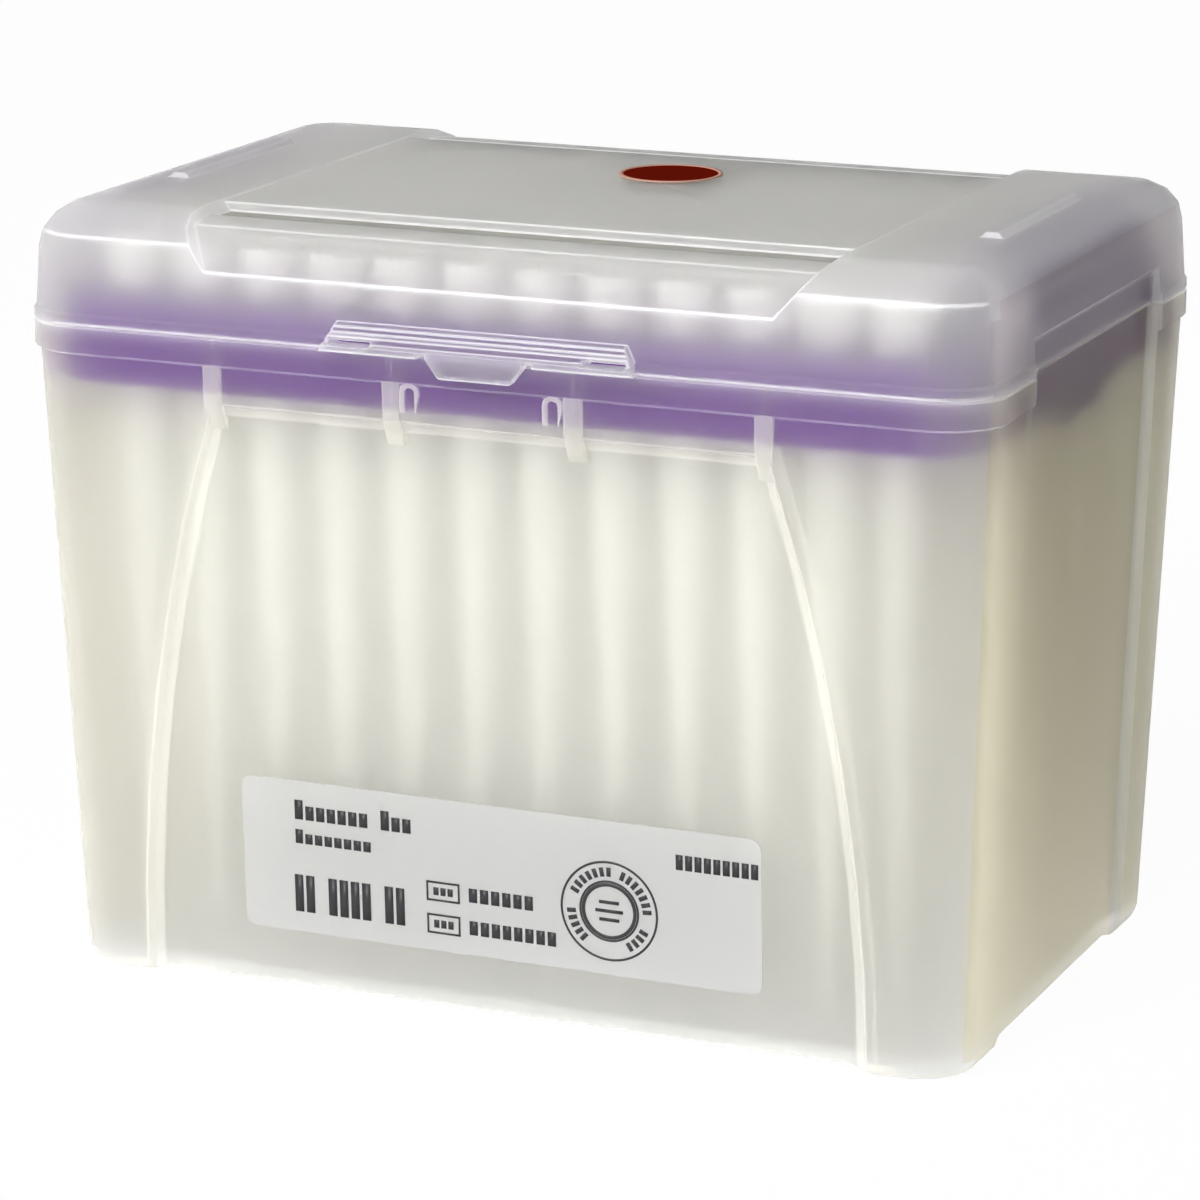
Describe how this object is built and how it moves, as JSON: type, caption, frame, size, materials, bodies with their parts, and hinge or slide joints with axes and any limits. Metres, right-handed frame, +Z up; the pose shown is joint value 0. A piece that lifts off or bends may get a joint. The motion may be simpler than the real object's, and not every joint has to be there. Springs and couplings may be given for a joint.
{
  "type": "box of pipette tips",
  "caption": "Frosted box with a hinged clear lid and a violet tray that holds long pipette tips upright on a square grid, ready to be picked up.",
  "frame": {"origin": "middle of the footprint, at the level the four feet stand on", "axes": "+X along the long front, -Y out of the front with the latch, +Z up"},
  "size_m": [0.1254, 0.0856, 0.0973],
  "materials": {
    "base_plastic": "natural polypropylene, frosted and see-through, satin",
    "tray_plastic": "violet polypropylene, satin",
    "lid_plastic": "natural polypropylene, clearer than the base, satin",
    "label_film": "clear self-adhesive film with a plain printed layout",
    "dot_paint": "round red indicator sticker with a pale edge"
  },
  "bodies": {
    "base": {"box_base": "base_plastic", "tip_tray": "tray_plastic", "front_label": "label_film"},
    "lid": {"lid": "lid_plastic", "indicator_dot": "dot_paint"}
  },
  "joints": [
    {"name": "lid_hinge", "type": "hinge", "parent": "base", "child": "lid", "pos_m": [0, 0.041, 0.0825], "axis": [-1, 0, 0], "range_deg": [0, 110]}
  ]
}
